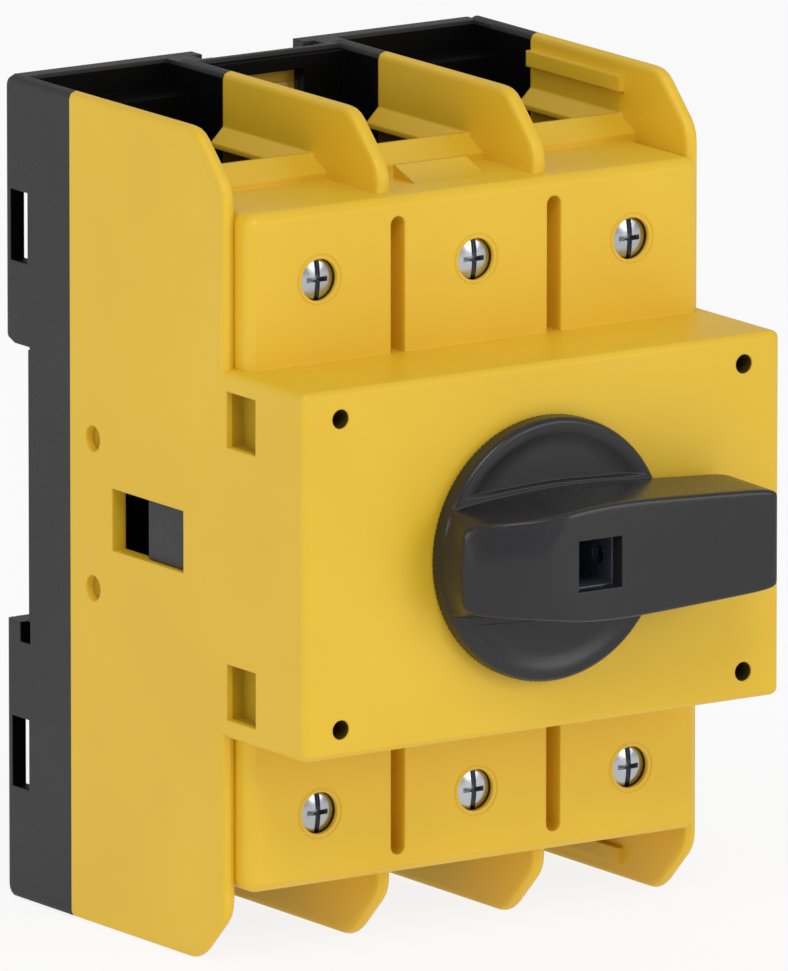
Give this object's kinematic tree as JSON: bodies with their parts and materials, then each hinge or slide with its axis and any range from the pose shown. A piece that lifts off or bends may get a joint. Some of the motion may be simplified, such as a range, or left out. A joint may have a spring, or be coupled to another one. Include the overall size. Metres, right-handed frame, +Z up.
{
  "type": "rail mounted switch disconnector",
  "caption": "Rail mounted rotary switch disconnector with yellow front, black base, side lever handle, screw terminals between fins and a spring latch.",
  "frame": {"origin": "middle of the flat seat at the rear that rests on the mounting rail, halfway up and across", "axes": "+X across the poles to the right seen from the front, +Y from the handle back to the rail, +Z up"},
  "size_m": [0.07, 0.0785, 0.1034],
  "materials": {
    "cover_plastic": "satin",
    "latch_plastic": "satin",
    "base_plastic": "matte",
    "handle_plastic": "satin",
    "mechanism_plastic": "matte",
    "zinc_steel": "satin",
    "spring_steel": "satin",
    "contact_metal": "satin"
  },
  "bodies": {
    "housing": {"base": "base_plastic", "front_cover": "cover_plastic", "housing_screws": "zinc_steel", "latch_spring": "spring_steel", "bearing_plate": "zinc_steel", "bearing_screws": "zinc_steel", "detent_spring_upper": "spring_steel", "detent_spring_lower": "spring_steel", "line_contact_1": "contact_metal", "line_contact_2": "contact_metal", "line_contact_3": "contact_metal", "load_contact_1": "contact_metal", "load_contact_2": "contact_metal", "load_contact_3": "contact_metal"},
    "rotor": {"knob": "handle_plastic", "drive_shaft": "zinc_steel", "cam_drum": "mechanism_plastic"},
    "carriage": {"contact_carriage": "mechanism_plastic", "moving_contact_1": "contact_metal", "moving_contact_2": "contact_metal", "moving_contact_3": "contact_metal", "contact_spring_1": "spring_steel", "contact_spring_2": "spring_steel", "contact_spring_3": "spring_steel"},
    "latch": {"rail_latch": "latch_plastic"},
    "line_screw_body_1": {"line_screw_1": "zinc_steel"},
    "line_clamp_body_1": {"line_clamp_1": "zinc_steel"},
    "line_screw_body_2": {"line_screw_2": "zinc_steel"},
    "line_clamp_body_2": {"line_clamp_2": "zinc_steel"},
    "line_screw_body_3": {"line_screw_3": "zinc_steel"},
    "line_clamp_body_3": {"line_clamp_3": "zinc_steel"},
    "load_screw_body_1": {"load_screw_1": "zinc_steel"},
    "load_clamp_body_1": {"load_clamp_1": "zinc_steel"},
    "load_screw_body_2": {"load_screw_2": "zinc_steel"},
    "load_clamp_body_2": {"load_clamp_2": "zinc_steel"},
    "load_screw_body_3": {"load_screw_3": "zinc_steel"},
    "load_clamp_body_3": {"load_clamp_3": "zinc_steel"}
  },
  "joints": [
    {"name": "knob_turn", "type": "hinge", "parent": "housing", "child": "rotor", "pos_m": [0, -0.061, 0], "axis": [0, 1, 0], "range_deg": [0, 90], "deforming": ["detent_spring_upper", "detent_spring_lower"]},
    {"name": "carriage_slide", "type": "slide", "parent": "housing", "child": "carriage", "axis": [0, 1, 0], "range_m": [0, 0.0066]},
    {"name": "latch_slide", "type": "slide", "parent": "housing", "child": "latch", "axis": [0, 0, 1], "range_m": [0, 0.0022], "stiffness_N_per_m": 300, "springref_m": -0.005, "deforming": ["latch_spring"]},
    {"name": "line_screw_turn_1", "type": "hinge", "parent": "housing", "child": "line_screw_body_1", "pos_m": [-0.0229, -0.046, 0.0331], "axis": [0, 1, 0], "range_deg": [0, 3600.5]},
    {"name": "line_clamp_slide_1", "type": "slide", "parent": "housing", "child": "line_clamp_body_1", "axis": [0, -1, 0], "range_m": [0, 0.008]},
    {"name": "line_screw_turn_2", "type": "hinge", "parent": "housing", "child": "line_screw_body_2", "pos_m": [0, -0.046, 0.0331], "axis": [0, 1, 0], "range_deg": [0, 3600.5]},
    {"name": "line_clamp_slide_2", "type": "slide", "parent": "housing", "child": "line_clamp_body_2", "axis": [0, -1, 0], "range_m": [0, 0.008]},
    {"name": "line_screw_turn_3", "type": "hinge", "parent": "housing", "child": "line_screw_body_3", "pos_m": [0.0229, -0.046, 0.0331], "axis": [0, 1, 0], "range_deg": [0, 3600.5]},
    {"name": "line_clamp_slide_3", "type": "slide", "parent": "housing", "child": "line_clamp_body_3", "axis": [0, -1, 0], "range_m": [0, 0.008]},
    {"name": "load_screw_turn_1", "type": "hinge", "parent": "housing", "child": "load_screw_body_1", "pos_m": [-0.0229, -0.046, -0.0331], "axis": [0, 1, 0], "range_deg": [0, 3600.5]},
    {"name": "load_clamp_slide_1", "type": "slide", "parent": "housing", "child": "load_clamp_body_1", "axis": [0, -1, 0], "range_m": [0, 0.008]},
    {"name": "load_screw_turn_2", "type": "hinge", "parent": "housing", "child": "load_screw_body_2", "pos_m": [0, -0.046, -0.0331], "axis": [0, 1, 0], "range_deg": [0, 3600.5]},
    {"name": "load_clamp_slide_2", "type": "slide", "parent": "housing", "child": "load_clamp_body_2", "axis": [0, -1, 0], "range_m": [0, 0.008]},
    {"name": "load_screw_turn_3", "type": "hinge", "parent": "housing", "child": "load_screw_body_3", "pos_m": [0.0229, -0.046, -0.0331], "axis": [0, 1, 0], "range_deg": [0, 3600.5]},
    {"name": "load_clamp_slide_3", "type": "slide", "parent": "housing", "child": "load_clamp_body_3", "axis": [0, -1, 0], "range_m": [0, 0.008]}
  ],
  "couplings": [
    {"joint": "knob_turn", "follows": "carriage_slide", "rad_per_m": 238},
    {"joint": "line_screw_turn_1", "follows": "line_clamp_slide_1", "rad_per_m": 7854},
    {"joint": "line_screw_turn_2", "follows": "line_clamp_slide_2", "rad_per_m": 7854},
    {"joint": "line_screw_turn_3", "follows": "line_clamp_slide_3", "rad_per_m": 7854},
    {"joint": "load_screw_turn_1", "follows": "load_clamp_slide_1", "rad_per_m": 7854},
    {"joint": "load_screw_turn_2", "follows": "load_clamp_slide_2", "rad_per_m": 7854},
    {"joint": "load_screw_turn_3", "follows": "load_clamp_slide_3", "rad_per_m": 7854}
  ]
}
